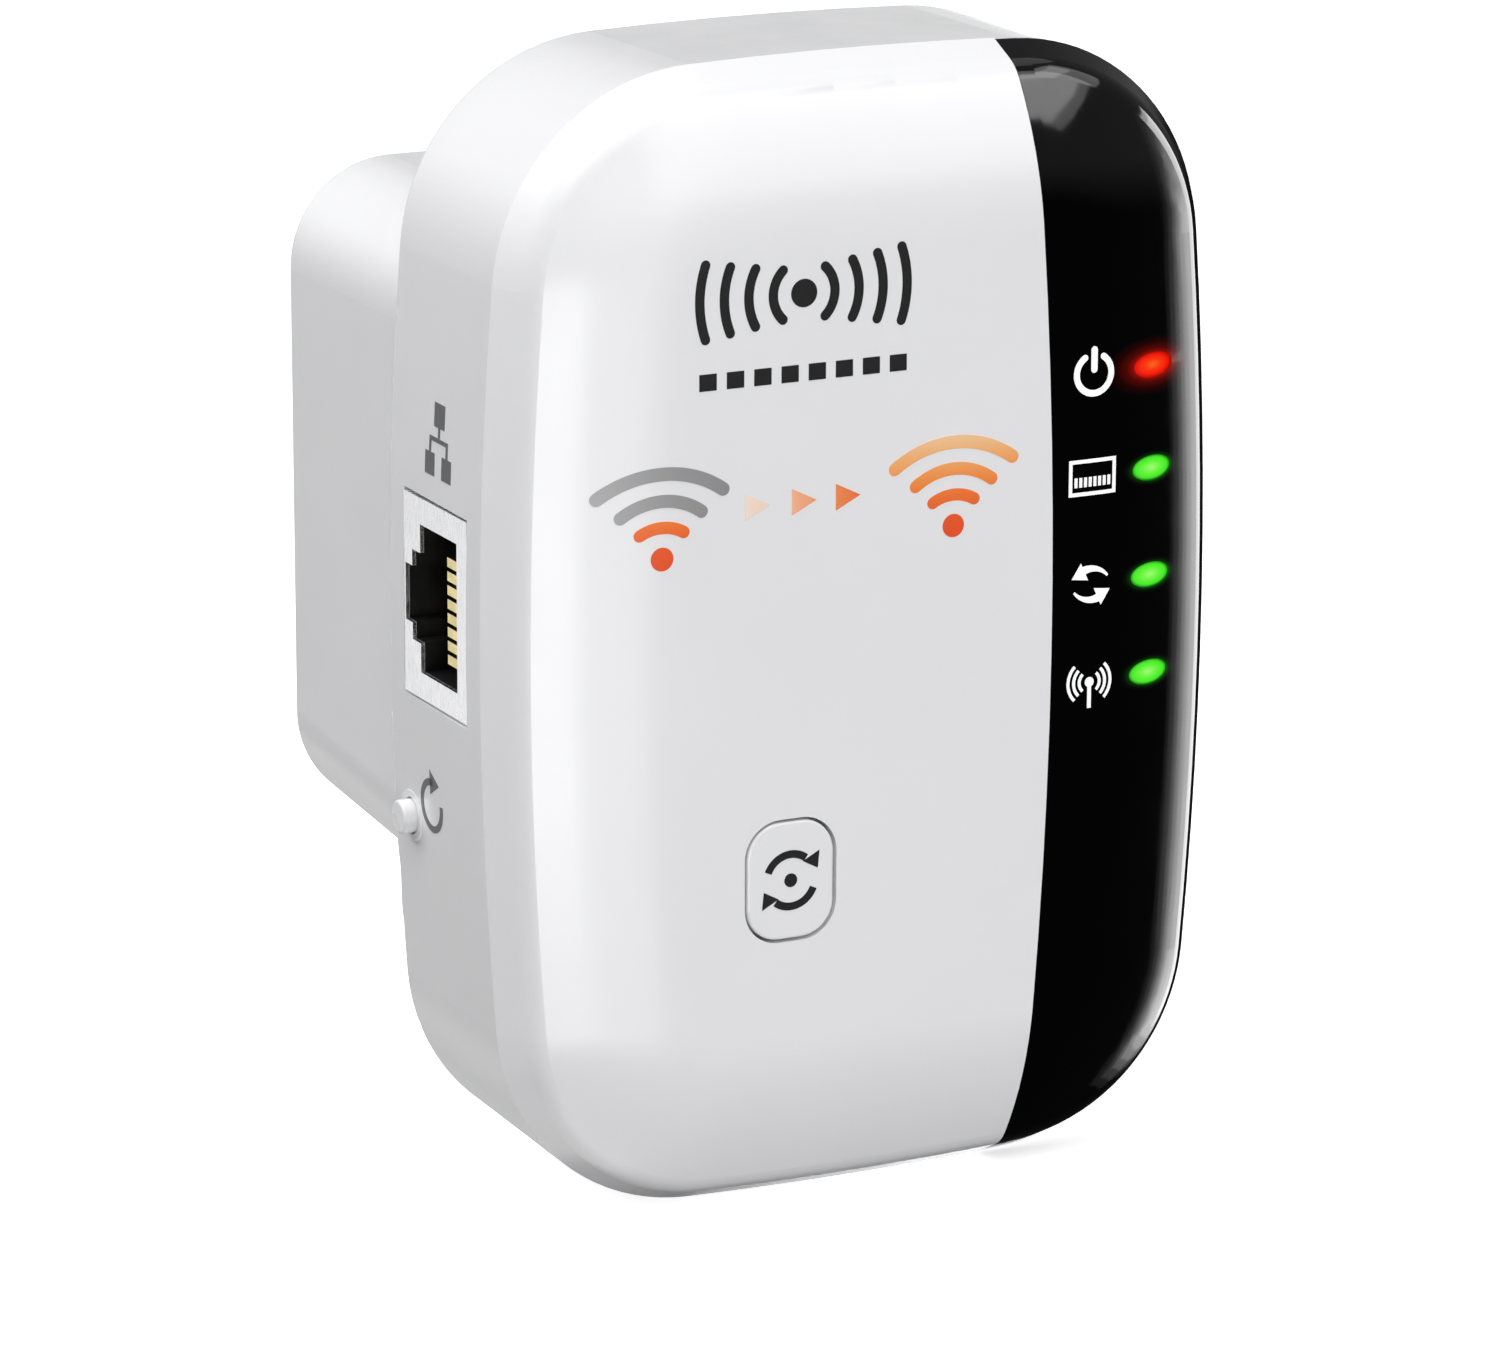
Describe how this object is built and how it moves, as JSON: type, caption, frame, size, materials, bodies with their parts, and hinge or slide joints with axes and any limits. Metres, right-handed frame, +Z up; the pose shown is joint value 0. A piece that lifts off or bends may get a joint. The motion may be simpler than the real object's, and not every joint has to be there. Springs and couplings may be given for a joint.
{
  "type": "wifi range extender",
  "caption": "Plug-in wifi range extender: pillow-shaped white front, glossy black light strip, deep rear block with two flat blades, side network port and two push buttons.",
  "frame": {"origin": "middle of the flat wall face at the back of the rear block, half way between the two plug blades", "axes": "+Z up as plugged in, +Y from the front face into the wall along the blades, +X to the right seen from the front"},
  "size_m": [0.0634, 0.063, 0.0904],
  "materials": {
    "white_shell": "smooth white moulded plastic, soft gloss",
    "white_button": "smooth white moulded plastic",
    "black_gloss": "high-gloss black",
    "red_window": "tinted light guide, lit red",
    "green_window": "tinted light guide, lit green",
    "led_resin": "clear resin",
    "black_moulding": "black moulded plastic",
    "plated_blade": "nickel-plated brass",
    "brass_clip": "bare brass",
    "zinc_screw": "zinc-plated steel",
    "jack_shell": "bright plated sheet steel",
    "gold_contact": "gold-plated wire",
    "board_green": "green solder mask",
    "board_tan": "bare tan laminate",
    "chip_epoxy": "moulded epoxy",
    "chip_ceramic": "tan ceramic with tinned ends",
    "thermal_pad": "soft pad",
    "heatsink_alloy": "bare extruded aluminium",
    "ferrite": "dark ferrite",
    "winding_tape": "yellow polyester tape",
    "capacitor_sleeve": "dark shrink sleeve",
    "resistor_coat": "dull coating",
    "copper_wire": "enamelled copper",
    "safety_coat": "dipped blue coating",
    "insulating_film": "translucent film"
  },
  "bodies": {
    "casing": {"base_screws": "zinc_screw", "black_panel": "black_gloss", "blade_clips": "brass_clip", "blade_live": "plated_blade", "blade_neutral": "plated_blade", "board_screws": "zinc_screw", "bridge_rectifier": "chip_epoxy", "chip_capacitors": "chip_ceramic", "chip_resistors": "chip_epoxy", "controller_chip": "chip_epoxy", "crystal": "jack_shell", "filter_inductor": "ferrite", "flash_chip": "chip_epoxy", "front_cover": "white_shell", "fuse_resistor": "resistor_coat", "heatsink": "heatsink_alloy", "inductor_winding": "copper_wire", "input_capacitors": "capacitor_sleeve", "insulating_sheet": "insulating_film", "jack_contacts": "gold_contact", "jack_housing": "black_moulding", "jack_shield": "jack_shell", "lan_light_guide": "green_window", "lan_transformer": "chip_epoxy", "light_baffle": "black_moulding", "link_pins": "gold_contact", "link_spacer": "black_moulding", "lower_antenna": "jack_shell", "main_board": "board_green", "memory_chip": "chip_epoxy", "optocoupler": "chip_epoxy", "output_capacitors": "capacitor_sleeve", "output_diode": "chip_epoxy", "pairing_switch_body": "black_moulding", "pairing_switch_cover": "jack_shell", "plug_base": "white_shell", "power_board": "board_tan", "power_board_screws": "zinc_screw", "power_led": "led_resin", "power_light_guide": "red_window", "rear_shell": "white_shell", "reset_switch_body": "black_moulding", "reset_switch_cover": "jack_shell", "rf_shield": "jack_shell", "safety_capacitor": "safety_coat", "signal_light_guide": "green_window", "status_leds": "led_resin", "sync_light_guide": "green_window", "thermal_pad": "thermal_pad", "transformer_bobbin": "black_moulding", "transformer_core": "ferrite", "transformer_winding": "winding_tape", "upper_antenna": "jack_shell", "wifi_chip": "chip_epoxy"},
    "pairing_button": {"pairing_button": "white_button"},
    "pairing_plunger": {"pairing_plunger": "black_moulding"},
    "reset_button": {"reset_button": "white_button"},
    "reset_plunger": {"reset_plunger": "black_moulding"}
  },
  "joints": [
    {"name": "pairing_button_press", "type": "slide", "parent": "casing", "child": "pairing_button", "axis": [0, 1, 0], "range_m": [0, 0.0004], "stiffness_N_per_m": 400, "springref_m": -0.0005},
    {"name": "pairing_plunger_press", "type": "slide", "parent": "casing", "child": "pairing_plunger", "axis": [0, 1, 0], "range_m": [0, 0.0004]},
    {"name": "reset_button_press", "type": "slide", "parent": "casing", "child": "reset_button", "axis": [1, 0, 0], "range_m": [0, 0.0004], "stiffness_N_per_m": 400, "springref_m": -0.0005},
    {"name": "reset_plunger_press", "type": "slide", "parent": "casing", "child": "reset_plunger", "axis": [1, 0, 0], "range_m": [0, 0.0004]}
  ],
  "couplings": [
    {"joint": "pairing_plunger_press", "follows": "pairing_button_press", "ratio": 1},
    {"joint": "reset_plunger_press", "follows": "reset_button_press", "ratio": 1}
  ]
}
